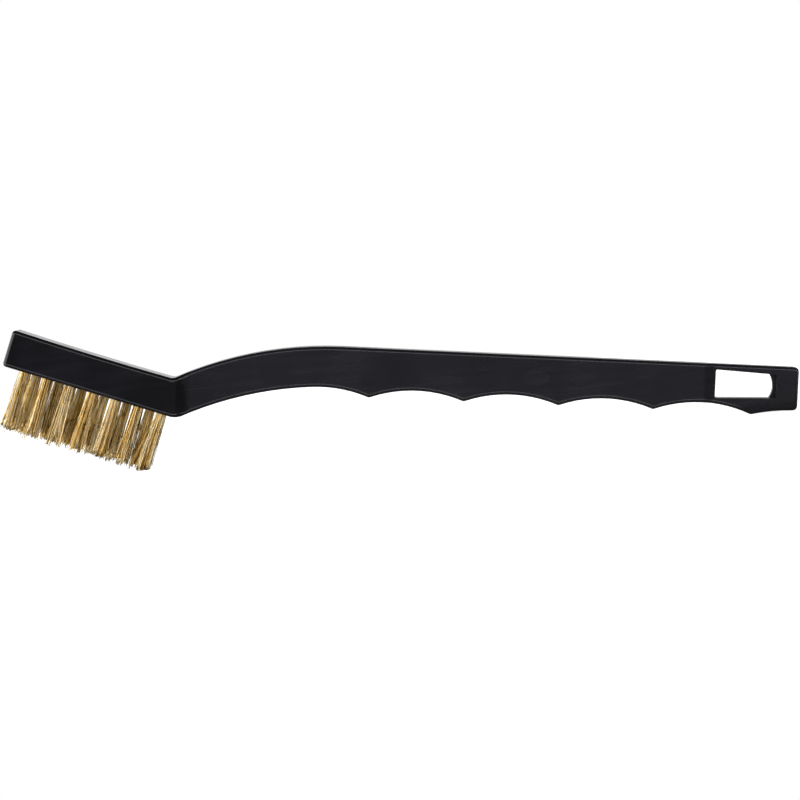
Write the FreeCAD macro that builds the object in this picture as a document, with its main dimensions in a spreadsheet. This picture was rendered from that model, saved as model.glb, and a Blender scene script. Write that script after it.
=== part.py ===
import FreeCAD, Part
import math
import os

import Sketcher
from FreeCAD import Placement, Rotation, Vector

# A small scratch brush: a one-piece plastic handle and head, and twenty brass wire tufts, each folded
# over a flat anchor in its own hole. The brush is drawn with the grip's straight top edge level, the
# origin at the top corner of the handle's end, +X towards that end and +Z up. The pieces are then set
# down as the brush rests on a bench, on its heel tufts and on the lower corner of the handle's end.

DIMENSIONS = (
    ("overall_length", 190.95, "toe of the head to the end of the handle"),
    ("toe_depth", 8.18, "lower toe corner below the grip's top edge"),
    ("head_tilt", 14.4, "head's underside to the grip, degrees"),
    ("head_thickness", 9.05, "toe, top to underside"),
    ("head_top_radius", 900.0, "slight hollow along the top of the head"),
    ("head_width", 11.1, "head, side to side"),
    ("head_corner", 0.9, "radius of the toe's two corners"),
    ("notch_radius", 2.0, "valley where the head's top meets the neck"),
    ("heel_radius", 4.8, "heel under the neck"),
    ("grip_straight", 109.8, "straight part of the grip's top edge"),
    ("neck_top_radius", 91.0, "top of the neck"),
    ("neck_bottom_radius", 86.5, "underside of the neck"),
    ("neck_bottom_centre", 109.9, "centre of that arc from the handle's end"),
    ("handle_width", 9.0, "neck and grip, side to side"),
    ("head_ramp_start", 149.3, "where the head starts to narrow, from the handle's end"),
    ("head_ramp_end", 146.0, "where the neck's full narrowing is reached"),
    ("groove_radius", 31.6, "finger grooves under the grip"),
    ("groove_depth", 41.04, "last groove's centre below the grip's top edge"),
    ("groove_fall", 0.105, "each groove's centre below the one nearer the handle's end"),
    ("groove_pitch", 22.75, "from one finger groove to the next"),
    ("last_groove", 23.2, "centre of the last groove from the handle's end"),
    ("cusp_radius", 1.0, "rounding of the ridges between the grooves"),
    ("tail_radius", 44.5, "underside past the last ridge"),
    ("end_depth", 10.42, "height of the handle's end"),
    ("end_corner", 1.1, "radius of the end's two corners"),
    ("end_width", 6.6, "hanging end, side to side"),
    ("end_ramp_start", 22.8, "where the grip starts to narrow"),
    ("end_ramp_end", 20.4, "where the hanging end's thickness is reached"),
    ("ramp_blend", 0.8, "rounding at both ends of each ramp"),
    ("rim_radius", 0.9, "rounding along both side faces"),
    ("slot_middle", 4.8, "middle of the hanging slot below the grip's top edge"),
    ("slot_start", 20.0, "grip side of the slot from the handle's end"),
    ("slot_web_end", 6.8, "corners of the slot's round end in the web"),
    ("slot_face_end", 5.3, "end of the slot at both faces"),
    ("slot_start_height", 6.8, "slot at its grip side"),
    ("slot_end_height", 5.6, "slot at its far end"),
    ("slot_end_radius", 5.2, "round end of the slot in the web"),
    ("slot_corner", 0.35, "corners at the slot's grip side"),
    ("web_thickness", 2.0, "web left around the slot's round end"),
    ("recess_lap", 1.0, "how far the slot's square end reaches back over the web's slot"),
    ("pad_place", 63.0, "blank oval pad from the handle's end"),
    ("pad_depth", 5.2, "blank oval pad below the grip's top edge"),
    ("pad_length", 6.6, "blank oval pad along the grip"),
    ("pad_height", 4.0, "blank oval pad across the grip"),
    ("pad_relief", 0.15, "blank oval pad above the side face"),
    ("ejector_place", 3.2, "ejector pin's mark from the handle's end"),
    ("ejector_below", 5.0, "ejector pin's mark below the grip's top edge"),
    ("ejector_radius", 1.3, "ejector pin's mark"),
    ("ejector_depth", 0.08, "ejector pin's mark, into the face"),
    ("first_tuft", 5.35, "first outer tuft from the toe, along the underside"),
    ("tuft_pitch", 5.7, "from one tuft to the next in a row"),
    ("row_offset", 3.3, "outer rows from the middle one"),
    ("outer_tufts", 7, "tufts in each outer row"),
    ("middle_tufts", 6, "tufts in the middle row, set between the outer ones"),
    ("hole_radius", 1.2, "tuft hole, and the tuft in it"),
    ("hole_deep", 6.0, "depth of a tuft hole"),
    ("fold_height", 0.8, "wire folded under the anchor"),
    ("tip_radius", 1.55, "tuft at its tips"),
    ("trim_length", 13.6, "wire that stands out of the head"),
    ("anchor_width", 3.2, "anchor, which bites past both sides of its hole"),
    ("anchor_thickness", 0.4, "anchor, across its flat"),
    ("anchor_height", 1.6, "anchor, along its hole"),
)
GROOVES = 5

doc = FreeCAD.newDocument("WireBrush")
sheet = doc.addObject("Spreadsheet::Sheet", "Dimensions")
for row, (alias, value, meaning) in enumerate(DIMENSIONS, start=1):
    sheet.set("A%d" % row, meaning)
    sheet.set("B%d" % row, str(value))
    sheet.setAlias("B%d" % row, alias)
doc.recompute()


def size(alias):
    """A driving dimension's value."""
    return float(getattr(sheet, alias))


def bind(thing, name, formula):
    """Ties a property to the sheet. Words in the formula that are aliases name its cells."""
    words = formula.split()
    aliases = [alias for alias, _, _ in DIMENSIONS]
    thing.setExpression(name, " ".join("Dimensions." + w if w in aliases else w for w in words))


def origin_plane(body, role):
    """One of the body's own base planes."""
    return next(plane for plane in body.Origin.OriginFeatures if plane.Role == role)


def new_sketch(body, name, role):
    """An empty sketch on one of the body's base planes."""
    sketch = body.newObject("Sketcher::SketchObject", name)
    sketch.AttachmentSupport = [(origin_plane(body, role), "")]
    sketch.MapMode = "FlatFace"
    return sketch


def hold(sketch, name, formula, kind, *where):
    """A named dimension of a sketch, tied to the sheet."""
    number = sketch.addConstraint(Sketcher.Constraint(kind, *where))
    sketch.renameConstraint(number, name)
    bind(sketch, "Constraints." + name, formula)


def line(sketch, start, end):
    return sketch.addGeometry(Part.LineSegment(start, end))


def arc(sketch, centre, radius, start, end):
    """An arc that runs anticlockwise from one point to another."""
    first, last = (math.atan2(point.y - centre.y, point.x - centre.x) for point in (start, end))
    circle = Part.Circle(centre, Vector(0, 0, 1), radius)
    return sketch.addGeometry(Part.ArcOfCircle(circle, first, last))


# Places of a line's or an arc's points in sketch constraints, and the sketch's own axes and origin
START, END, CENTRE = 1, 2, 3
ORIGIN = (-1, START)
ACROSS_AXIS, UP_AXIS = -1, -2


def join(sketch, pairs):
    for pair in pairs:
        sketch.addConstraint(Sketcher.Constraint("Coincident", *pair))


def polygon(sketch, points):
    """A closed loop of lines through the points."""
    sides = [line(sketch, a, b) for a, b in zip(points, points[1:] + points[:1])]
    join(sketch, [(a, END, b, START) for a, b in zip(sides, sides[1:] + sides[:1])])
    return sides


def above_both(first, second, radius):
    """The upper of the two points that lie a radius away from both centres."""
    apart = first - second
    rise = math.sqrt(radius**2 - (apart.Length / 2) ** 2)
    return (first + second) / 2 + Vector(-apart.y, apart.x, 0).normalize() * rise


def first_meeting(start, direction, centre, radius):
    """Where a ray first meets a circle."""
    away = start - centre
    along = away.dot(direction)
    return start - direction * (along + math.sqrt(along**2 - away.dot(away) + radius**2))


def side_outline(body):
    """The handle's side view, anticlockwise from the top corner of its end."""
    sketch = new_sketch(body, "side_outline", "XZ_Plane")
    tilt = math.radians(size("head_tilt"))
    along = Vector(math.cos(tilt), -math.sin(tilt), 0)
    across = Vector(math.sin(tilt), math.cos(tilt), 0)
    end_top = Vector(0, 0, 0)
    end_bottom = Vector(0, -size("end_depth"), 0)
    grip_start = Vector(-size("grip_straight"), 0, 0)
    toe_bottom = Vector(-size("overall_length"), -size("toe_depth"), 0)
    toe_top = toe_bottom + across * size("head_thickness")
    radius = size("groove_radius")
    last = Vector(-size("last_groove"), -size("groove_depth"), 0)
    step = Vector(-size("groove_pitch"), -size("groove_fall"), 0)
    grooves = [last + step * number for number in range(GROOVES)]
    neck_top = grip_start - Vector(0, size("neck_top_radius"), 0)
    notch = first_meeting(toe_top, along, neck_top, size("neck_top_radius"))
    reach = size("neck_bottom_radius") - radius
    aside = grooves[-1].x + size("neck_bottom_centre")
    neck_bottom = grooves[-1] - Vector(aside, math.sqrt(reach**2 - aside**2), 0)
    heel = first_meeting(toe_bottom, along, neck_bottom, size("neck_bottom_radius"))
    blend = grooves[-1] + (grooves[-1] - neck_bottom).normalize() * radius
    cusps = [above_both(centre - step, centre, radius) for centre in grooves] + [blend]
    tail = end_bottom - Vector(0, size("tail_radius"), 0)
    chord_middle = (notch + toe_top) / 2
    hollow = math.sqrt(size("head_top_radius") ** 2 - (notch - chord_middle).Length ** 2)

    top = line(sketch, end_top, grip_start)
    neck_upper = arc(sketch, neck_top, size("neck_top_radius"), grip_start, notch)
    head_top = arc(sketch, chord_middle + across * hollow, size("head_top_radius"), toe_top, notch)
    head_chord = line(sketch, notch, toe_top)
    sketch.setConstruction(head_chord, True)
    toe = line(sketch, toe_top, toe_bottom)
    underside = line(sketch, toe_bottom, heel)
    neck_lower = arc(sketch, neck_bottom, size("neck_bottom_radius"), blend, heel)
    scallops = [
        arc(sketch, centre, radius, right, left)
        for centre, right, left in zip(grooves, cusps, cusps[1:])
    ]
    tail_arc = arc(sketch, tail, size("tail_radius"), end_bottom, cusps[0])
    end = line(sketch, end_bottom, end_top)

    join(sketch, [(top, START, *ORIGIN), (neck_upper, END, head_top, END)])
    join(sketch, [(head_top, START, toe, START), (toe, END, underside, START)])
    join(sketch, [(head_chord, START, head_top, END), (head_chord, END, head_top, START)])
    join(sketch, [(underside, END, neck_lower, END), (tail_arc, END, scallops[0], START)])
    join(sketch, [(tail_arc, START, end, START), (end, END, top, START)])
    join(sketch, [(a, END, b, START) for a, b in zip(scallops, scallops[1:])])
    rules = [("Horizontal", top), ("Vertical", end), ("PointOnObject", tail_arc, CENTRE, UP_AXIS)]
    rules += [("Parallel", head_chord, underside), ("Perpendicular", toe, underside)]
    rules += [("Tangent", top, END, neck_upper, START)]
    rules += [("Tangent", neck_lower, START, scallops[-1], END)]
    rules += [("Equal", a, b) for a, b in zip(scallops, scallops[1:])]
    for rule in rules:
        sketch.addConstraint(Sketcher.Constraint(*rule))

    hold(sketch, "grip_straight", "grip_straight", "Distance", top, size("grip_straight"))
    hold(sketch, "neck_top", "neck_top_radius", "Radius", neck_upper, size("neck_top_radius"))
    toe_place = (underside, START, *ORIGIN)
    hold(sketch, "length", "overall_length", "DistanceX", *toe_place, size("overall_length"))
    hold(sketch, "toe_depth", "toe_depth", "DistanceY", *toe_place, size("toe_depth"))
    hold(sketch, "thickness", "head_thickness", "Distance", toe, size("head_thickness"))
    hold(sketch, "head_top", "head_top_radius", "Radius", head_top, size("head_top_radius"))
    hold(sketch, "tilt", "0 - head_tilt", "Angle", ACROSS_AXIS, underside, -tilt)
    hold(sketch, "neck_bottom", "neck_bottom_radius", "Radius", neck_lower, size("neck_bottom_radius"))
    neck_place = (neck_lower, CENTRE, *ORIGIN)
    neck_centre = size("neck_bottom_centre")
    hold(sketch, "neck_centre", "neck_bottom_centre", "DistanceX", *neck_place, neck_centre)
    hold(sketch, "groove", "groove_radius", "Radius", scallops[0], radius)
    groove_place = (scallops[0], CENTRE, *ORIGIN)
    hold(sketch, "groove_depth", "groove_depth", "DistanceY", *groove_place, size("groove_depth"))
    hold(sketch, "last_groove", "last_groove", "DistanceX", *groove_place, size("last_groove"))
    for number, (a, b) in enumerate(zip(scallops, scallops[1:])):
        pair = (b, CENTRE, a, CENTRE)
        hold(sketch, "pitch_%d" % number, "groove_pitch", "DistanceX", *pair, size("groove_pitch"))
        hold(sketch, "fall_%d" % number, "groove_fall", "DistanceY", *pair, size("groove_fall"))
    hold(sketch, "tail", "tail_radius", "Radius", tail_arc, size("tail_radius"))
    hold(sketch, "end_depth", "end_depth", "Distance", end, size("end_depth"))
    corners = {
        "head_corner": [(toe, START), (toe, END)],
        "end_corner": [(end, START), (end, END)],
        "notch_radius": [(neck_upper, END)],
        "heel_radius": [(neck_lower, END)],
        "cusp_radius": [(scallop, START) for scallop in scallops],
    }
    return sketch, corners


def pad(body, sketch, name, formula):
    """A block made to both sides of a sketch."""
    feature = body.newObject("PartDesign::Pad", name)
    feature.Profile = sketch
    feature.SideType = "Symmetric"
    bind(feature, "Length", formula)
    doc.recompute()


def pocket(body, sketch, name, formula=None):
    """A cut from a sketch: right through, or along its normal for as far as the formula says."""
    before = body.Shape.Volume
    feature = body.newObject("PartDesign::Pocket", name)
    feature.Profile = sketch
    if formula is None:
        feature.SideType = "Symmetric"
        feature.Type = "ThroughAll"
    else:
        feature.Reversed = True
        bind(feature, "Length", formula)
    doc.recompute()
    if body.Shape.Volume > before - 0.001:
        raise RuntimeError(name + " cuts nothing")
    return feature


def fillet(body, name, wanted, formula):
    """Rounds the edges of the body as it stands that answer to a test of (shape, edge)."""
    base = body.Tip
    numbers = [
        "Edge%d" % number
        for number, edge in enumerate(base.Shape.Edges, start=1)
        if wanted(base.Shape, edge)
    ]
    if not numbers:
        raise RuntimeError(name + " finds no edge")
    feature = body.newObject("PartDesign::Fillet", name)
    feature.Base = (base, numbers)
    bind(feature, "Radius", formula)
    doc.recompute()


def across_handle_at(places):
    """A test for straight edges across the handle at the given points of its side view."""

    def wanted(shape, edge):
        box = edge.BoundBox
        spot = Vector(box.Center.x, box.Center.z, 0)
        straight = box.YLength > 1 and box.XLength + box.ZLength < 0.01
        return straight and any(spot.distanceToPoint(place) < 0.05 for place in places)

    return wanted


def sides_at(shape, edge):
    """How squarely each of an edge's faces looks to the side, at the edge's middle."""
    spot = edge.valueAt((edge.FirstParameter + edge.LastParameter) / 2)
    faces = shape.ancestorsOfType(edge, Part.Face)
    return sorted(abs(face.normalAt(*face.Surface.parameter(spot)).y) for face in faces)


def is_crease(shape, edge):
    """Whether a side face turns into a ramp at this edge."""
    sides = sides_at(shape, edge)
    return len(sides) == 2 and sides[0] > 0.5


def is_rim(shape, edge):
    """Whether this edge lies along the outline of a side face."""
    sides = sides_at(shape, edge)
    return len(sides) == 2 and sides[0] < 0.1 and sides[1] > 0.7


def mirror(body, feature, name):
    """Repeats a feature on the other side of the handle."""
    copy = body.newObject("PartDesign::Mirrored", name)
    copy.Originals = [feature]
    copy.MirrorPlane = (origin_plane(body, "XZ_Plane"), [""])
    body.Tip = copy
    doc.recompute()


def narrowing(body):
    """Cuts both sides in from the head's width to the grip's, and again to the hanging end's."""
    sketch = new_sketch(body, "side_cut", "XY_Plane")
    head, handle, end = (size(name) / 2 for name in ("head_width", "handle_width", "end_width"))
    beyond = head
    places = [
        (-size("head_ramp_start"), head),
        (-size("head_ramp_end"), handle),
        (-size("end_ramp_start"), handle),
        (-size("end_ramp_end"), end),
        (beyond, end),
        (beyond, 2 * head),
        (-size("head_ramp_start"), 2 * head),
    ]
    points = [Vector(x, y, 0) for x, y in places]
    sides = polygon(sketch, points)
    level, upright = (1, 3, 5), (4, 6)
    for kind, flats in (("Horizontal", level), ("Vertical", upright)):
        for flat in flats:
            sketch.addConstraint(Sketcher.Constraint(kind, sides[flat]))
    for name, corner, formula in (
        ("head_side", 0, "head_width / 2"),
        ("handle_side", 1, "handle_width / 2"),
        ("end_side", 3, "end_width / 2"),
        ("outer_side", 5, "head_width"),
    ):
        hold(sketch, name, formula, "DistanceY", *ORIGIN, sides[corner], START, points[corner].y)
    for name, corner, formula in (
        ("ramp_start", 0, "0 - head_ramp_start"),
        ("ramp_end", 1, "0 - head_ramp_end"),
        ("end_start", 2, "0 - end_ramp_start"),
        ("end_end", 3, "0 - end_ramp_end"),
        ("beyond", 4, "head_width / 2"),
    ):
        hold(sketch, name, formula, "DistanceX", *ORIGIN, sides[corner], START, points[corner].x)
    cut = pocket(body, sketch, "side_narrowing")
    mirror(body, cut, "other_side_narrowing")


def slot_corners(start, end):
    """A stretch of the slot, anticlockwise: its sides close evenly towards the handle's end."""
    middle = -size("slot_middle")
    half_start = size("slot_start_height") / 2
    closing = (size("slot_start_height") - size("slot_end_height")) / 2
    closing /= size("slot_start") - size("slot_face_end")
    half_end = half_start - closing * (size("slot_start") - end)
    half_begin = half_start - closing * (size("slot_start") - start)
    return [
        Vector(-start, middle + half_begin, 0),
        Vector(-start, middle - half_begin, 0),
        Vector(-end, middle - half_end, 0),
        Vector(-end, middle + half_end, 0),
    ]


def hanging_slot(body):
    """A slot through the hanging end: round-ended in a thin web, and square-ended at both faces."""
    sketch = new_sketch(body, "slot_outline", "XZ_Plane")
    points = slot_corners(size("slot_start"), size("slot_web_end"))
    left = line(sketch, points[0], points[1])
    bottom = line(sketch, points[1], points[2])
    upper = line(sketch, points[3], points[0])
    reach = (points[3].y - points[2].y) / 2
    bulge = math.sqrt(size("slot_end_radius") ** 2 - reach**2)
    centre = Vector(points[3].x - bulge, -size("slot_middle"), 0)
    round_end = arc(sketch, centre, size("slot_end_radius"), points[2], points[3])
    join(sketch, [(left, END, bottom, START), (bottom, END, round_end, START)])
    join(sketch, [(round_end, END, upper, START), (upper, END, left, START)])
    sketch.addConstraint(Sketcher.Constraint("Vertical", left))
    sketch.addConstraint(Sketcher.Constraint("Vertical", round_end, START, round_end, END))
    sketch.addConstraint(Sketcher.Constraint("Equal", bottom, upper))
    hold(sketch, "start", "slot_start", "DistanceX", left, START, *ORIGIN, size("slot_start"))
    hold(sketch, "corner", "slot_web_end", "DistanceX", bottom, END, *ORIGIN, size("slot_web_end"))
    hold(sketch, "height", "slot_start_height", "Distance", left, size("slot_start_height"))
    middle = (round_end, CENTRE, *ORIGIN)
    hold(sketch, "middle", "slot_middle", "DistanceY", *middle, size("slot_middle"))
    hold(sketch, "round_end", "slot_end_radius", "Radius", round_end, size("slot_end_radius"))
    web = "slot_start_height - ( slot_start_height - slot_end_height )"
    web += " * ( slot_start - slot_web_end ) / ( slot_start - slot_face_end )"
    chord = (round_end, START, round_end, END)
    hold(sketch, "end_height", web, "DistanceY", *chord, 2 * reach)
    pocket(body, sketch, "hanging_slot")
    fillet(body, "slot_corners", across_handle_at(points[:2]), "slot_corner")

    recess = new_sketch(body, "slot_recess_outline", "XZ_Plane")
    recess.AttachmentOffset = Placement(Vector(0, 0, size("web_thickness") / 2), Rotation())
    bind(recess, "AttachmentOffset.Base.z", "web_thickness / 2")
    lap = size("recess_lap")
    points = slot_corners(size("slot_web_end") + lap, size("slot_face_end"))
    sides = polygon(recess, points)
    recess.addConstraint(Sketcher.Constraint("Vertical", sides[0]))
    recess.addConstraint(Sketcher.Constraint("Vertical", sides[2]))
    recess.addConstraint(Sketcher.Constraint("Equal", sides[1], sides[3]))
    start = (sides[0], START, *ORIGIN)
    hold(recess, "start", "slot_web_end + recess_lap", "DistanceX", *start, -points[0].x)
    end = (sides[2], START, *ORIGIN)
    hold(recess, "end", "slot_face_end", "DistanceX", *end, size("slot_face_end"))
    end_height = size("slot_end_height")
    hold(recess, "end_height", "slot_end_height", "Distance", sides[2], end_height)
    lower = (sides[2], START, *ORIGIN)
    formula = "slot_middle + slot_end_height / 2"
    hold(recess, "middle", formula, "DistanceY", *lower, size("slot_middle") + end_height / 2)
    start_formula = "slot_start_height - ( slot_start_height - slot_end_height )"
    start_formula += " * ( slot_start - slot_web_end - recess_lap ) / ( slot_start - slot_face_end )"
    start_height = points[0].y - points[1].y
    hold(recess, "start_height", start_formula, "Distance", sides[0], start_height)
    cut = pocket(body, recess, "slot_recess", "end_width")
    mirror(body, cut, "other_slot_recess")


def head_frame(depth=0.0):
    """The head's own frame: from the toe along the underside, with its third axis into the head."""
    toe = Placement(
        Vector(-size("overall_length"), 0, -size("toe_depth")),
        Rotation(Vector(0, 1, 0), size("head_tilt")),
    )
    return toe.multiply(Placement(Vector(0, 0, depth), Rotation()))


def underside_sketch(body, name, depth, formula):
    """A sketch at a depth above the head's underside, in the head's own frame."""
    sketch = new_sketch(body, name, "XY_Plane")
    sketch.AttachmentOffset = head_frame(depth)
    bind(sketch, "AttachmentOffset.Rotation.Angle", "head_tilt")
    bind(sketch, "AttachmentOffset.Base.x", "( %s ) * sin( head_tilt ) - overall_length" % formula)
    bind(sketch, "AttachmentOffset.Base.z", "( %s ) * cos( head_tilt ) - toe_depth" % formula)
    return sketch


def row_pattern(body, feature, sketch, name, count):
    """Repeats a cut along its row of tufts."""
    pattern = body.newObject("PartDesign::LinearPattern", name)
    pattern.Originals = [feature]
    pattern.Direction = (sketch, ["H_Axis"])
    pattern.Mode = "Spacing"
    bind(pattern, "Offset", "tuft_pitch")
    bind(pattern, "Occurrences", count)
    body.Tip = pattern
    before = feature.Shape.Volume
    doc.recompute()
    if pattern.Shape.Volume > before - 0.001:
        raise RuntimeError(name + " repeats nothing")


def row_starts(outer):
    """The first tuft of each outer row or of the middle row: (name, place, across, formulas of both)."""
    first = size("first_tuft")
    aside = size("row_offset")
    if outer:
        return (
            ("front", first, -aside, "first_tuft", "0 - row_offset"),
            ("back", first, aside, "first_tuft", "row_offset"),
        )
    place = first + size("tuft_pitch") / 2
    return (("middle", place, 0.0, "first_tuft + tuft_pitch / 2", "0"),)


def tuft_holes(body, outer, name, count):
    """Blind holes for the outer rows or for the middle row."""
    sketch = underside_sketch(body, name + "_outline", 0.0, "0")
    for row, place, across, place_formula, across_formula in row_starts(outer):
        circle = Part.Circle(Vector(place, across, 0), Vector(0, 0, 1), size("hole_radius"))
        hole = sketch.addGeometry(circle)
        hold(sketch, row + "_radius", "hole_radius", "Radius", hole, size("hole_radius"))
        middle = (*ORIGIN, hole, CENTRE)
        hold(sketch, row + "_place", place_formula, "DistanceX", *middle, place)
        if outer:
            hold(sketch, row + "_across", across_formula, "DistanceY", *middle, across)
        else:
            sketch.addConstraint(Sketcher.Constraint("PointOnObject", hole, CENTRE, ACROSS_AXIS))
    cut = pocket(body, sketch, name, "hole_deep")
    row_pattern(body, cut, sketch, name + "_row", count)


def anchor_bites(body, outer, name, count):
    """Buried nicks on both sides of the holes, where the anchors' ends bite into the head."""
    depth = size("hole_deep") - size("fold_height") - size("anchor_height")
    depth_formula = "hole_deep - fold_height - anchor_height"
    sketch = underside_sketch(body, name + "_outline", depth, depth_formula)
    half = Vector(size("anchor_width") / 2, size("anchor_thickness") / 2, 0)
    for row, place, across, place_formula, across_formula in row_starts(outer):
        low = Vector(place, across, 0) - half
        high = Vector(place, across, 0) + half
        points = [low, Vector(high.x, low.y, 0), high, Vector(low.x, high.y, 0)]
        sides = polygon(sketch, points)
        for kind, side in zip(("Horizontal", "Vertical") * 2, sides):
            sketch.addConstraint(Sketcher.Constraint(kind, side))
        corner = (*ORIGIN, sides[0], START)
        hold(sketch, row + "_place", place_formula + " - anchor_width / 2", "DistanceX", *corner, low.x)
        nick = across_formula + " - anchor_thickness / 2"
        hold(sketch, row + "_across", nick, "DistanceY", *corner, low.y)
        hold(sketch, row + "_width", "anchor_width", "Distance", sides[0], 2 * half.x)
        hold(sketch, row + "_thickness", "anchor_thickness", "Distance", sides[1], 2 * half.y)
    cut = pocket(body, sketch, name, "anchor_height")
    row_pattern(body, cut, sketch, name + "_row", count)


def oval_pad(body):
    """A plain, slightly raised oval on the front of the grip."""
    sketch = new_sketch(body, "oval_outline", "XZ_Plane")
    sketch.AttachmentOffset = Placement(Vector(0, 0, size("handle_width") / 2), Rotation())
    bind(sketch, "AttachmentOffset.Base.z", "handle_width / 2")
    centre = Vector(-size("pad_place"), -size("pad_depth"), 0)
    long_end = centre + Vector(size("pad_length") / 2, 0, 0)
    short_end = centre + Vector(0, size("pad_height") / 2, 0)
    oval = sketch.addGeometry(Part.Ellipse(long_end, short_end, centre))
    long_axis = line(sketch, long_end, centre * 2 - long_end)
    short_axis = line(sketch, short_end, centre * 2 - short_end)
    for kind, axis in (("EllipseMajorDiameter", long_axis), ("EllipseMinorDiameter", short_axis)):
        sketch.setConstruction(axis, True)
        sketch.addConstraint(Sketcher.Constraint("InternalAlignment:" + kind, axis, oval))
    sketch.addConstraint(Sketcher.Constraint("Horizontal", long_axis))
    hold(sketch, "long", "pad_length", "Distance", long_axis, size("pad_length"))
    hold(sketch, "short", "pad_height", "Distance", short_axis, size("pad_height"))
    middle = (oval, CENTRE, *ORIGIN)
    hold(sketch, "place", "pad_place", "DistanceX", *middle, size("pad_place"))
    hold(sketch, "depth", "pad_depth", "DistanceY", *middle, size("pad_depth"))
    feature = body.newObject("PartDesign::Pad", "oval_pad")
    feature.Profile = sketch
    bind(feature, "Length", "pad_relief")
    doc.recompute()


def ejector_mark(body):
    """The shallow round mark that an ejector pin leaves on the front of the hanging end."""
    sketch = new_sketch(body, "ejector_outline", "XZ_Plane")
    floor = size("end_width") / 2 - size("ejector_depth")
    sketch.AttachmentOffset = Placement(Vector(0, 0, floor), Rotation())
    bind(sketch, "AttachmentOffset.Base.z", "end_width / 2 - ejector_depth")
    centre = Vector(-size("ejector_place"), -size("ejector_below"), 0)
    mark = sketch.addGeometry(Part.Circle(centre, Vector(0, 0, 1), size("ejector_radius")))
    hold(sketch, "radius", "ejector_radius", "Radius", mark, size("ejector_radius"))
    middle = (mark, CENTRE, *ORIGIN)
    hold(sketch, "place", "ejector_place", "DistanceX", *middle, size("ejector_place"))
    hold(sketch, "below", "ejector_below", "DistanceY", *middle, size("ejector_below"))
    pocket(body, sketch, "ejector_mark", "ejector_depth")


def handle_block():
    """The whole moulding: head, neck, finger grip and hanging end."""
    body = doc.addObject("PartDesign::Body", "handle_block")
    sketch, corners = side_outline(body)
    pad(body, sketch, "moulding", "head_width")
    places = {
        radius: [sketch.getPoint(*corner) for corner in found] for radius, found in corners.items()
    }
    for radius, found in places.items():
        fillet(body, radius + "_rounding", across_handle_at(found), radius)
    narrowing(body)
    fillet(body, "ramp_blends", is_crease, "ramp_blend")
    fillet(body, "rims", is_rim, "rim_radius")
    oval_pad(body)
    hanging_slot(body)
    ejector_mark(body)
    for outer, row, count in ((True, "outer", "outer_tufts"), (False, "middle", "middle_tufts")):
        tuft_holes(body, outer, row + "_holes", count)
        anchor_bites(body, outer, row + "_bites", count)
    return body


def tuft(name):
    """One bundle of wire, folded at its root and flared towards its tips, with its anchor's gap."""
    body = doc.addObject("PartDesign::Body", name)
    sketch = new_sketch(body, name + "_profile", "XZ_Plane")
    root, tip = size("hole_radius"), size("tip_radius")
    deep, trim = size("hole_deep"), size("trim_length")
    corners = ((0, deep), (0, -trim), (tip, -trim), (root, 0), (root, deep))
    sides = polygon(sketch, [Vector(x, z, 0) for x, z in corners])
    for kind, side in (("Horizontal", 1), ("Vertical", 3), ("Horizontal", 4)):
        sketch.addConstraint(Sketcher.Constraint(kind, sides[side]))
    for side in (0, 1):
        rule = ("PointOnObject", sides[side], START, UP_AXIS)
        sketch.addConstraint(Sketcher.Constraint(*rule))
    hold(sketch, "deep", "hole_deep", "DistanceY", *ORIGIN, sides[0], START, deep)
    hold(sketch, "trim", "trim_length", "DistanceY", sides[1], START, *ORIGIN, trim)
    hold(sketch, "tip", "tip_radius", "Distance", sides[1], tip)
    hold(sketch, "root", "hole_radius", "Distance", sides[4], root)
    sketch.addConstraint(Sketcher.Constraint("PointOnObject", sides[3], START, ACROSS_AXIS))
    bundle = body.newObject("PartDesign::Revolution", name + "_bundle")
    bundle.Profile = sketch
    bundle.ReferenceAxis = (sketch, ["V_Axis"])
    bundle.Angle = 360
    doc.recompute()

    gap = new_sketch(body, name + "_gap", "YZ_Plane")
    half = size("anchor_thickness") / 2
    high = size("hole_deep") - size("fold_height")
    low = high - size("anchor_height")
    places = [(-half, low), (half, low), (half, high), (-half, high)]
    sides = polygon(gap, [Vector(y, z, 0) for y, z in places])
    for kind, side in zip(("Horizontal", "Vertical") * 2, sides):
        gap.addConstraint(Sketcher.Constraint(kind, side))
    corner = (*ORIGIN, sides[2], START)
    hold(gap, "half", "anchor_thickness / 2", "DistanceX", *corner, half)
    hold(gap, "high", "hole_deep - fold_height", "DistanceY", *corner, high)
    hold(gap, "width", "anchor_thickness", "Distance", sides[0], 2 * half)
    hold(gap, "tall", "anchor_height", "Distance", sides[1], high - low)
    pocket(body, gap, name + "_anchor_gap")
    return body


def anchor(name):
    """A flat piece of wire, driven on edge into the bottom of a hole."""
    flat = doc.addObject("Part::Box", name)
    bind(flat, "Length", "anchor_width")
    bind(flat, "Width", "anchor_thickness")
    bind(flat, "Height", "anchor_height")
    return flat


def rows():
    """Each tuft's row, number and place in the head's frame."""
    for outer in (True, False):
        count = int(size("outer_tufts" if outer else "middle_tufts"))
        for row, place, across, _, _ in row_starts(outer):
            for number in range(count):
                yield row, number + 1, Vector(place + number * size("tuft_pitch"), across, 0)


def resting_turn():
    """The turn that sets the rims of the last outer tufts level with the end's lower corner."""
    last = size("first_tuft") + (size("outer_tufts") - 1) * size("tuft_pitch")
    rim = head_frame().multVec(Vector(last + size("tip_radius"), 0, -size("trim_length")))
    radius = size("end_corner")
    corner = Vector(-radius, 0, radius - size("end_depth"))
    reach = corner - rim
    angle = math.atan2(reach.z, reach.x) - math.asin(radius / reach.Length)
    turn = Placement(Vector(), Rotation(Vector(0, 1, 0), math.degrees(angle)))
    return turn, -turn.multVec(rim).z


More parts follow.
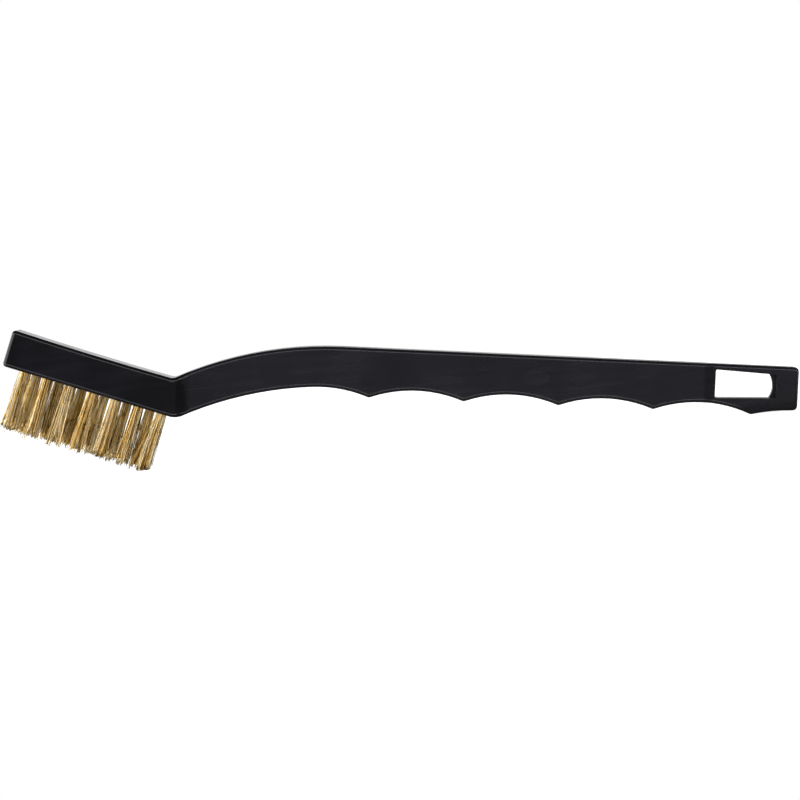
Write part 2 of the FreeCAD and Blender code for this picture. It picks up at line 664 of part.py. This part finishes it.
block = handle_block()
pieces = {"handle_block": (block, Placement())}
for row, number, place in rows():
    hole = head_frame().multiply(Placement(place, Rotation()))
    name = "%s_%d" % (row, number)
    pieces["tuft_" + name] = (tuft("tuft_" + name), hole)
    low_corner = Vector(
        -size("anchor_width") / 2,
        -size("anchor_thickness") / 2,
        size("hole_deep") - size("fold_height") - size("anchor_height"),
    )
    seat = hole.multiply(Placement(low_corner, Rotation()))
    pieces["anchor_" + name] = (anchor("anchor_" + name), seat)
doc.recompute()

turn, lift = resting_turn()
for thing, place in pieces.values():
    thing.Placement = turn.multiply(place)
doc.recompute()
box = Part.makeCompound([thing.Shape for thing, _ in pieces.values()]).optimalBoundingBox(False)
stand = Placement(Vector(-box.Center.x, 0, lift), Rotation())
for label, (thing, place) in pieces.items():
    thing.Label = label
    thing.Placement = stand.multiply(turn).multiply(place)
doc.recompute()

for thing in doc.Objects:
    if "Invalid" in thing.State or "Error" in thing.State:
        raise RuntimeError(thing.Name + " is " + ", ".join(thing.State))
for label, (thing, _) in pieces.items():
    if thing.Shape.isNull() or not thing.Shape.isValid() or len(thing.Shape.Solids) != 1:
        raise RuntimeError(label + " is not one sound solid")

os.makedirs("parts", exist_ok=True)
for label, (thing, _) in pieces.items():
    thing.Shape.exportStep("parts/%s.step" % label)
print("wrote", len(pieces), "pieces")
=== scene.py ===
import math
import random

import bpy
import numpy as np
from mathutils import Matrix, Vector


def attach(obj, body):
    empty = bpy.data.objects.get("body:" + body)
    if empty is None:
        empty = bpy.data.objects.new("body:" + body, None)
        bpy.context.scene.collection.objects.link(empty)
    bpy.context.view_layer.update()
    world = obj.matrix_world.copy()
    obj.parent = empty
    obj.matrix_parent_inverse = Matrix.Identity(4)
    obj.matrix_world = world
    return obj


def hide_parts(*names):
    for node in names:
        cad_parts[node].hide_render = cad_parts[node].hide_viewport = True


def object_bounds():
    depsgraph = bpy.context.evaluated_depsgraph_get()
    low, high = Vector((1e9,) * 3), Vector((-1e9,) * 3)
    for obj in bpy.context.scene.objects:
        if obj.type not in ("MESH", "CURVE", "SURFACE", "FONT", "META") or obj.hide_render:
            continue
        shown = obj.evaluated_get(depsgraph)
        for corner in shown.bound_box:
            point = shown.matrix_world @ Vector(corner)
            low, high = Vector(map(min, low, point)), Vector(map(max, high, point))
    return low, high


MM = 0.001

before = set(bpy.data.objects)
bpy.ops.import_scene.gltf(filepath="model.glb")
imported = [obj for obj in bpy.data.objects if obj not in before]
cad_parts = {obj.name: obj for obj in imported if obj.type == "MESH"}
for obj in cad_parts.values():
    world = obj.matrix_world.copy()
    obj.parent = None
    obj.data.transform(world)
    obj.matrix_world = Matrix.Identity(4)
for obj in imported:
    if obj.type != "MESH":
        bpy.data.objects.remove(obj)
cad_low, cad_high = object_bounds()

# ---------------------------------------------------------------- the object's sizes
TRIM = 13.6 * MM  # wire that stands out of the head
HOLE_DEEP = 6.0 * MM
HOLE_RADIUS = 1.2 * MM
FOLD = 0.8 * MM  # wire folded past the anchor
ANCHOR_HALF = 0.2 * MM
WIRE_RADIUS = 0.075 * MM
FOLDED_WIRES = 76  # half the places in a hole; the one on its middle line stays empty
LOCKS = 34  # bunches that the wires of a tuft gather into
FLARE = 0.3  # how much wider a tuft is at its tips
TUFT_LEAN = math.radians(0.7)
LOCK_LEAN = math.radians(1.1)
WIRE_LEAN = math.radians(1.3)
STRAY_LEAN = math.radians(4.2)
HEEL_LEAN = math.radians(2.6)  # added along the rows' whole length, past the place below
HEEL_LEAN_START = 0.55  # of the rows' length, from the toe
STRAYS = 0.045  # part of the ends that leave their lock
LONG_ENDS = 0.06  # part of the ends that the trimming missed
END_STEPS = 13  # points along each end
ROWS_LENGTH = 40 * MM  # from the toe to the end of the rows of tufts
HANDLE_HALF = 4.5 * MM
HEAD_END = -51.3 * MM  # where the head has narrowed to the neck
GRIP_SLOPE = math.radians(7.85)  # of the grip's top edge, at rest


# ---------------------------------------------------------------- materials
class Nodes:
    """A node tree, with short ways to add and join nodes."""

    def __init__(self, tree):
        self.tree = tree

    def add(self, kind, **settings):
        node = self.tree.nodes.new(kind)
        for name, value in settings.items():
            setattr(node, name, value)
        return node

    def join(self, source, target):
        self.tree.links.new(source, target)

    def math(self, operation, first, second=0.0):
        node = self.add("ShaderNodeMath", operation=operation)
        for socket, value in zip(node.inputs, (first, second)):
            if isinstance(value, (int, float)):
                socket.default_value = value
            else:
                self.join(value, socket)
        return node.outputs[0]

    def spread(self, value, low, high, to_low=0.0, to_high=1.0):
        """Carries a value smoothly from one range to another, held at both ends."""
        node = self.add("ShaderNodeMapRange", interpolation_type="SMOOTHSTEP")
        self.join(value, node.inputs["Value"])
        ranges = {"From Min": low, "From Max": high, "To Min": to_low, "To Max": to_high}
        for name, number in ranges.items():
            node.inputs[name].default_value = number
        return node.outputs["Result"]

    def noise(self, where, per_metre, detail=2.0, stretch=(1, 1, 1)):
        node = self.add("ShaderNodeTexNoise")
        node.inputs["Scale"].default_value = per_metre
        node.inputs["Detail"].default_value = detail
        mapping = self.add("ShaderNodeMapping")
        mapping.inputs["Scale"].default_value = stretch
        self.join(where, mapping.inputs["Vector"])
        self.join(mapping.outputs[0], node.inputs["Vector"])
        return node.outputs["Fac"]

    def ramp(self, value, *stops):
        """A colour that changes with a value; each stop is (place, colour)."""
        node = self.add("ShaderNodeValToRGB")
        elements = node.color_ramp.elements
        while len(elements) < len(stops):
            elements.new(0.5)
        for element, (place, colour) in zip(elements, stops):
            element.position = place
            element.color = (*colour, 1.0)
        self.join(value, node.inputs["Fac"])
        return node.outputs["Color"]

    def bump(self, height, distance, strength=1.0, under=None):
        node = self.add("ShaderNodeBump")
        node.inputs["Distance"].default_value = distance
        node.inputs["Strength"].default_value = strength
        self.join(height, node.inputs["Height"])
        if under is not None:
            self.join(under, node.inputs["Normal"])
        return node.outputs["Normal"]


def new_material(name):
    """A material, its node tree, its shader's sockets and the point on the object that is shaded."""
    material = bpy.data.materials.new(name)
    material.use_nodes = True
    nodes = Nodes(material.node_tree)
    sockets = material.node_tree.nodes["Principled BSDF"].inputs
    return material, nodes, sockets, nodes.add("ShaderNodeTexCoord").outputs["Object"]


def handle_plastic():
    """Black moulded plastic: a satin skin with a fine grain, flow streaks, handling scratches and a
    parting line down the middle of its edges. The head came out of a smoother part of the mould, and
    the raised oval on the grip out of a rougher one. The head's colour is also made darker, as painted
    shade."""
    material, nodes, sockets, place = new_material("handle_plastic_look")
    axes = nodes.add("ShaderNodeSeparateXYZ")
    nodes.join(place, axes.inputs[0])
    grain = nodes.noise(place, 5200, detail=3)
    cloud = nodes.noise(place, 70, detail=3)
    streaks = nodes.noise(place, 420, detail=4, stretch=(0.12, 1, 1.6))
    scratches = nodes.noise(place, 1500, detail=1, stretch=(0.04, 1, 1))
    fine_scratch = nodes.spread(scratches, 0.67, 0.71)
    along, aside = axes.outputs["X"], axes.outputs["Y"]
    smooth_shaded_head = nodes.spread(along, HEAD_END - 0.8 * MM, HEAD_END + 0.8 * MM, 1.0, 0.0)
    proud = nodes.spread(aside, -HANDLE_HALF - 0.12 * MM, -HANDLE_HALF - 0.04 * MM, 1.0, 0.0)
    oval = nodes.math("MULTIPLY", proud, nodes.spread(along, 0.0, 1 * MM))

    tone = nodes.math("MULTIPLY", cloud, 0.6)
    tone = nodes.math("ADD", tone, nodes.math("MULTIPLY", streaks, 0.4))
    # painted shade: the head's colour is made darker than the grip's
    shade = nodes.math("SUBTRACT", tone, nodes.math("MULTIPLY", smooth_shaded_head, 0.25))
    shade = nodes.math("ADD", shade, nodes.math("MULTIPLY", oval, 0.06))
    colour = nodes.ramp(
        shade,
        (0.15, (0.0030, 0.0030, 0.0042)),
        (0.35, (0.0060, 0.0058, 0.0088)),
        (0.7, (0.0084, 0.0080, 0.0120)),
    )
    nodes.join(colour, sockets["Base Color"])
    rough = nodes.spread(tone, 0.3, 0.7, 0.22, 0.29)
    rough = nodes.math("SUBTRACT", rough, nodes.math("MULTIPLY", smooth_shaded_head, 0.09))
    rough = nodes.math("ADD", rough, nodes.math("MULTIPLY", oval, 0.025))
    rough = nodes.math("ADD", rough, nodes.math("MULTIPLY", fine_scratch, 0.04))
    nodes.join(rough, sockets["Roughness"])

    off_middle = nodes.math("ABSOLUTE", aside)
    parting = nodes.spread(off_middle, 0.03 * MM, 0.09 * MM, 1.0, 0.0)
    normal = nodes.bump(grain, 0.006 * MM, 0.5)
    normal = nodes.bump(streaks, 0.012 * MM, 0.4, normal)
    normal = nodes.bump(fine_scratch, 0.003 * MM, 0.5, normal)
    normal = nodes.bump(parting, 0.03 * MM, 0.6, normal)
    nodes.join(normal, sockets["Normal"])
    sockets["IOR"].default_value = 1.49
    return material


def brass_wire(name, dark, middle, bright):
    """Drawn brass wire. Each wire has its own tone, and tarnish darkens it in patches."""
    material, nodes, sockets, place = new_material(name)
    own = nodes.add("ShaderNodeAttribute", attribute_name="tone").outputs["Fac"]
    tarnish = nodes.noise(place, 420, detail=3)
    tone = nodes.math("MULTIPLY", own, 0.8)
    tone = nodes.math("ADD", tone, nodes.math("MULTIPLY", tarnish, 0.2))
    colour = nodes.ramp(tone, (0.15, dark), (0.5, middle), (0.85, bright))
    nodes.join(colour, sockets["Base Color"])
    nodes.join(nodes.spread(tarnish, 0.3, 0.7, 0.26, 0.4), sockets["Roughness"])
    drawn = nodes.noise(place, 9000, detail=1)
    nodes.join(nodes.bump(drawn, 0.004 * MM, 0.4), sockets["Normal"])
    sockets["Metallic"].default_value = 1.0
    return material


def anchor_steel():
    """Flat rolled wire, dull grey, with rolling marks along it."""
    material, nodes, sockets, place = new_material("anchor_steel_look")
    marks = nodes.noise(place, 6000, detail=2, stretch=(0.08, 1, 1))
    colour = nodes.ramp(marks, (0.3, (0.36, 0.35, 0.34)), (0.7, (0.56, 0.55, 0.53)))
    nodes.join(colour, sockets["Base Color"])
    nodes.join(nodes.spread(marks, 0.3, 0.7, 0.3, 0.48), sockets["Roughness"])
    nodes.join(nodes.bump(marks, 0.004 * MM, 0.5), sockets["Normal"])
    sockets["Metallic"].default_value = 1.0
    return material


def floor_paint():
    """The plain pale floor. It glows towards the camera, so that shadows on it stay faint, and throws
    little light back at the brush."""
    material, nodes, sockets, _ = new_material("floor_look")
    seen = nodes.add("ShaderNodeLightPath").outputs["Is Camera Ray"]
    shade = nodes.ramp(seen, (0.0, (0.5, 0.5, 0.5)), (1.0, (0.9, 0.9, 0.9)))
    nodes.join(shade, sockets["Base Color"])
    nodes.join(nodes.spread(seen, 0.0, 1.0, 0.0, 0.9), sockets["Emission Strength"])
    sockets["Roughness"].default_value = 0.9
    sockets["Specular IOR Level"].default_value = 0.0
    sockets["Emission Color"].default_value = (1, 1, 1, 1)
    return material


# ---------------------------------------------------------------- the wire tufts
def tip_of(node):
    """A CAD tuft's axis, pointing out of the head, and the middle of its tip. The tip is the tuft's
    largest flat, so its direction is the one that the most area shares."""
    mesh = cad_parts[node].data
    area = {}
    for face in mesh.polygons:
        key = tuple(round(part, 2) for part in face.normal)
        area[key] = area.get(key, 0.0) + face.area
    axis = Vector(max(area, key=area.get)).normalized()
    reach = max(vertex.co.dot(axis) for vertex in mesh.vertices)
    ring = [vertex.co for vertex in mesh.vertices if reach - vertex.co.dot(axis) < 0.05 * MM]
    low = Vector([min(point[i] for point in ring) for i in range(3)])
    high = Vector([max(point[i] for point in ring) for i in range(3)])
    return axis, (low + high) / 2


def tubes(name, paths, tones, radius, across, sides=6):
    """One mesh of round wires, closed at both ends. Each path is an array of points with a tone of its
    own, and across is a direction that no wire runs along."""
    turns = np.arange(sides) * 2 * math.pi / sides
    vertices, faces, shades = [], [], []
    base = 0
    for path, tone in zip(paths, tones):
        along = np.gradient(path, axis=0)
        along /= np.linalg.norm(along, axis=1)[:, None]
        first = across - along * (along @ across)[:, None]
        first /= np.linalg.norm(first, axis=1)[:, None]
        second = np.cross(along, first)
        rings = (
            path[:, None, :]
            + radius * np.cos(turns)[None, :, None] * first[:, None, :]
            + radius * np.sin(turns)[None, :, None] * second[:, None, :]
        )
        vertices.append(rings.reshape(-1, 3))
        shades.append(np.full(len(path) * sides, tone))
        for ring in range(len(path) - 1):
            for side in range(sides):
                a = base + ring * sides + side
                b = base + ring * sides + (side + 1) % sides
                faces.append((a, b, b + sides, a + sides))
        faces.append(tuple(base + side for side in reversed(range(sides))))
        last = base + (len(path) - 1) * sides
        faces.append(tuple(last + side for side in range(sides)))
        base += len(path) * sides
    mesh = bpy.data.meshes.new(name)
    mesh.from_pydata(np.concatenate(vertices).tolist(), [], faces)
    mesh.shade_smooth()
    mesh.attributes.new("tone", "FLOAT", "POINT").data.foreach_set("value", np.concatenate(shades))
    piece = bpy.data.objects.new(name, mesh)
    bpy.context.scene.collection.objects.link(piece)
    return piece


def sunflower(count, reach):
    """Points spread evenly over a disc."""
    places = []
    for number in range(count):
        out = reach * math.sqrt((number + 0.5) / count)
        turn = number * math.pi * (3 - math.sqrt(5))
        places.append((out * math.cos(turn), out * math.sin(turn)))
    return places


def root_places(chance):
    """Where the wires of a tuft stand in its hole, on one side of the anchor."""
    places = sunflower(2 * FOLDED_WIRES, HOLE_RADIUS - WIRE_RADIUS)
    shift = 0.03 * MM
    return [(x + chance.gauss(0, shift), y + chance.gauss(0, shift)) for x, y in places if y > 0]


class Lock:
    """A bunch of wires that lean, bend and end together."""

    def __init__(self, chance, x, y):
        self.x, self.y = x, y
        self.lean = [math.tan(chance.gauss(0, LOCK_LEAN)) for _ in range(2)]
        self.bow = [chance.gauss(0, 0.06 * MM) for _ in range(2)]
        self.gather = chance.uniform(0.0, 0.45)
        self.longer = chance.gauss(-0.08 * MM, 0.62 * MM)
        self.tone = chance.gauss(0, 0.11)


def loose_end(chance, locks, lean, x, y):
    """One end of a wire from the mouth of its hole to its tip, as (across x, across y, outwards),
    and the tone of its lock."""
    lock = min(locks, key=lambda each: (each.x - x) ** 2 + (each.y - y) ** 2)
    stray = chance.random() < STRAYS
    own = STRAY_LEAN if stray else WIRE_LEAN
    gather = 0.0 if stray else lock.gather
    lean_x = lean[0] + lock.lean[0] + math.tan(chance.gauss(0, own))
    lean_y = lean[1] + lock.lean[1] + math.tan(chance.gauss(0, own))
    length = TRIM + lock.longer + chance.gauss(0, 0.2 * MM)
    if chance.random() < LONG_ENDS:
        length += chance.uniform(0.2, 0.9) * MM
    crimp = chance.uniform(0.02, 0.06) * MM
    wave = chance.uniform(2.6, 3.6) * MM
    phase = chance.uniform(0, 2 * math.pi)
    heading = chance.uniform(0, 2 * math.pi)
    points = []
    for step in range(1, END_STEPS + 1):
        part = step / END_STEPS
        out = part * length
        open_up = 1 + FLARE * part**0.7
        held = 1 - gather * part**1.2
        ripple = crimp * min(1.0, 4 * part) * math.sin(2 * math.pi * out / wave + phase)
        swell = math.sin(math.pi * part)
        across_x = (lock.x + (x - lock.x) * held) * open_up + lean_x * out
        across_y = (lock.y + (y - lock.y) * held) * open_up + lean_y * out
        across_x += lock.bow[0] * swell + ripple * math.cos(heading)
        across_y += lock.bow[1] * swell + ripple * math.sin(heading)
        points.append((across_x, across_y, out))
    return points, lock.tone


def folded_wire(chance, locks, lean, x, y):
    """A whole wire, and its tone: tip, up the hole past the anchor, over the fold, and down to its
    other tip."""
    seat = HOLE_DEEP - FOLD
    top = seat + FOLD * (0.15 + 0.7 * y / HOLE_RADIUS)
    bend = max(y, ANCHOR_HALF + WIRE_RADIUS)
    there, tone = loose_end(chance, locks, lean, x, y)
    back, _ = loose_end(chance, locks, lean, x, -y)
    inside = [(x, y, 0.0), (x, y, -2 * MM), (x, bend, -4 * MM), (x, bend, -seat)]
    inside.append((x, 0.72 * bend, -(seat + 0.7 * (top - seat))))
    mirrored = [(a, -b, c) for a, b, c in reversed(inside)]
    return list(reversed(there)) + inside + [(x, 0.0, -top)] + mirrored + back, tone


def wire_tuft(node, number, material):
    """A tuft of folded wires that stands for a CAD tuft. The tufts lean more towards the heel."""
    axis, tip = tip_of(node)
    along = Vector((0, 1, 0)).cross(axis).normalized()
    side = axis.cross(along)
    mouth = tip - axis * TRIM
    chance = random.Random(1000 + number)
    place = (mouth.x - cad_low.x) / ROWS_LENGTH
    heel_lean = HEEL_LEAN * max(0.0, place - HEEL_LEAN_START)
    lean = [math.tan(chance.gauss(0, TUFT_LEAN)) for _ in range(2)]
    lean[0] += math.tan(heel_lean)
    locks = [Lock(chance, x, y) for x, y in sunflower(LOCKS, HOLE_RADIUS)]
    turn = np.array([along, side, axis])
    paths, tones = [], []
    for x, y in root_places(chance):
        path, lock_tone = folded_wire(chance, locks, lean, x, y)
        path = np.array(path) @ turn + np.array(mouth)
        path[:, 2] = np.maximum(path[:, 2], WIRE_RADIUS)
        paths.append(path)
        tones.append(min(1.0, max(0.0, 0.5 + lock_tone + chance.gauss(0, 0.4))))
    piece = tubes(node + "_wires", paths, tones, WIRE_RADIUS, np.array(along))
    piece.data.materials.append(material)
    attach(piece, "root")
    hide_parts(node)


# ---------------------------------------------------------------- putting it together
def give(node, material):
    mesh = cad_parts[node].data
    mesh.materials.clear()
    mesh.materials.append(material)


give("handle_block", handle_plastic())
steel = anchor_steel()
outer_brass = brass_wire(
    "brass_wire_outer", (0.21, 0.105, 0.014), (0.88, 0.575, 0.17), (1.0, 0.9, 0.62)
)
# painted light: the middle row gets a brighter brass than the outer row, standing in for light that
# reaches between the tufts
middle_brass_painted_light = brass_wire(
    "brass_wire_middle_painted_light", (0.46, 0.265, 0.05), (1.0, 0.73, 0.27), (1.0, 0.92, 0.64)
)
for count, node in enumerate(sorted(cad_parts)):
    if node.startswith("anchor_"):
        give(node, steel)
    elif node.startswith("tuft_"):
        wire_tuft(node, count, middle_brass_painted_light if "middle" in node else outer_brass)


# ---------------------------------------------------------------- floor, light and camera
def floor():
    """It ends just in front of the brush, whose lower rims would otherwise mirror it."""
    left, right, front, back = -0.22, 0.22, -0.008, 0.4
    mesh = bpy.data.meshes.new("floor")
    corners = [(left, front, 0), (right, front, 0), (right, back, 0), (left, back, 0)]
    mesh.from_pydata(corners, [], [(0, 1, 2, 3)])
    mesh.materials.append(floor_paint())
    piece = bpy.data.objects.new("floor", mesh)
    bpy.context.scene.collection.objects.link(piece)


def studio():
    """A white room as the camera sees it. What lights the brush is a bright backdrop, a long softbox
    above the camera, a strip below it, a large panel on the left, a narrow one on the right, and a weak
    fill from the front."""
    world = bpy.data.worlds.new("studio")
    bpy.context.scene.world = world
    world.use_nodes = True
    world.node_tree.nodes.clear()
    nodes = Nodes(world.node_tree)
    axes = nodes.add("ShaderNodeSeparateXYZ")
    nodes.join(nodes.add("ShaderNodeTexCoord").outputs["Generated"], axes.inputs[0])
    x, y, z = (axes.outputs[axis] for axis in "XYZ")

    def panel(strength, *edges):
        """A patch of light. Each edge is (direction, where it is dark, where it is full)."""
        level = strength
        for value, low, high in edges:
            level = nodes.math("MULTIPLY", nodes.spread(value, low, high), level)
        return level

    def below(value, low, high):
        """An edge that is bright under the low value and dark over the high one."""
        return nodes.math("MULTIPLY", value, -1.0), -high, -low

    level = nodes.math("ADD", panel(0.95, (y, 0.75, 0.9), below(z, 0.25, 0.5)), 0.095)
    softbox = panel(3.9, below(y, -0.5, -0.3), (z, 0.27, 0.35), below(z, 0.45, 0.55))
    strip = panel(3.7, below(y, -0.6, -0.4), below(z, -0.36, -0.3), (z, -0.55, -0.47))
    left = panel(2.9, below(x, -0.55, -0.4), (z, -0.7, -0.5), below(z, 0.4, 0.7))
    right = panel(3.0, (x, 0.92, 0.98), below(z, 0.4, 0.7))
    sides = (x, -0.13, -0.03), below(x, 0.3, 0.4)
    fill = panel(0.14, below(y, -0.9, -0.8), *sides, below(z, 0.2, 0.3))
    for more in (softbox, strip, left, right, fill):
        level = nodes.math("ADD", level, more)
    light = nodes.add("ShaderNodeBackground")
    nodes.join(level, light.inputs["Strength"])
    seen = nodes.add("ShaderNodeBackground")
    seen.inputs["Color"].default_value = (1, 1, 1, 1)
    seen.inputs["Strength"].default_value = 1.0
    mix = nodes.add("ShaderNodeMixShader")
    nodes.join(nodes.add("ShaderNodeLightPath").outputs["Is Camera Ray"], mix.inputs[0])
    nodes.join(light.outputs[0], mix.inputs[1])
    nodes.join(seen.outputs[0], mix.inputs[2])
    nodes.join(mix.outputs[0], nodes.add("ShaderNodeOutputWorld").inputs[0])


def camera():
    """A long lens in front of the brush and a little above it, rolled so that the grip is nearly
    level."""
    aim = Vector((-0.2 * MM, -HANDLE_HALF, 11.26 * MM))
    distance = 800 * MM
    rise = math.radians(2.9)
    seen_width = 191.7 * MM
    roll = GRIP_SLOPE - math.radians(2.60)
    data = bpy.data.cameras.new("camera")
    data.sensor_width = 36
    data.lens = data.sensor_width * distance / seen_width
    data.clip_start, data.clip_end = 0.05, 20
    thing = bpy.data.objects.new("camera", data)
    back = Vector((0, -math.cos(rise), math.sin(rise)))
    facing = (-back).to_track_quat("-Z", "Y").to_matrix().to_4x4()
    turn = Matrix.Rotation(-roll, 4, "Z")
    thing.matrix_world = Matrix.Translation(aim + back * distance) @ facing @ turn
    bpy.context.scene.collection.objects.link(thing)
    bpy.context.scene.camera = thing


floor()
studio()
camera()
bpy.context.scene.view_settings.view_transform = "Standard"
